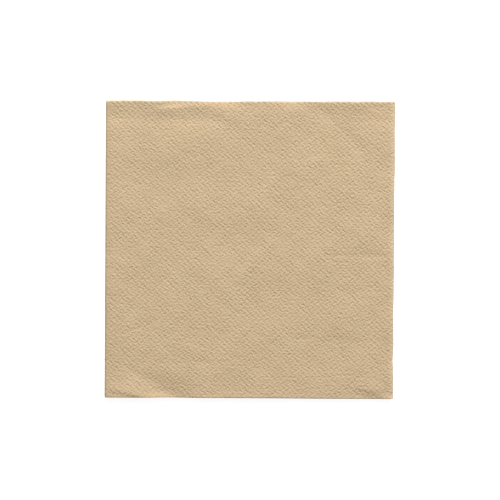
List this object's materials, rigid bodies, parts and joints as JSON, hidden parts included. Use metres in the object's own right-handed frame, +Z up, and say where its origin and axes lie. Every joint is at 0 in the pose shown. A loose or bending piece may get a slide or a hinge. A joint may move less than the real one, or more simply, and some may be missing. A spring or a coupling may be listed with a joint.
{
  "type": "folded paper napkin",
  "caption": "Nearly square napkin of soft embossed tissue in plain natural brown, folded in half and in half again, lying flat.",
  "frame": {"origin": "middle of the folded footprint, on the underside", "axes": "+Z up through the leaves, +Y from the stacked hairpin folds to the free top edges, +X from the nested fold to the free side edges"},
  "size_m": [0.16, 0.165, 0.0026],
  "materials": {
    "tissue": "matte unbleached tissue, soft, embossed with short crossed dashes"
  },
  "bodies": {
    "root": {"napkin": "tissue"}
  },
  "joints": []
}
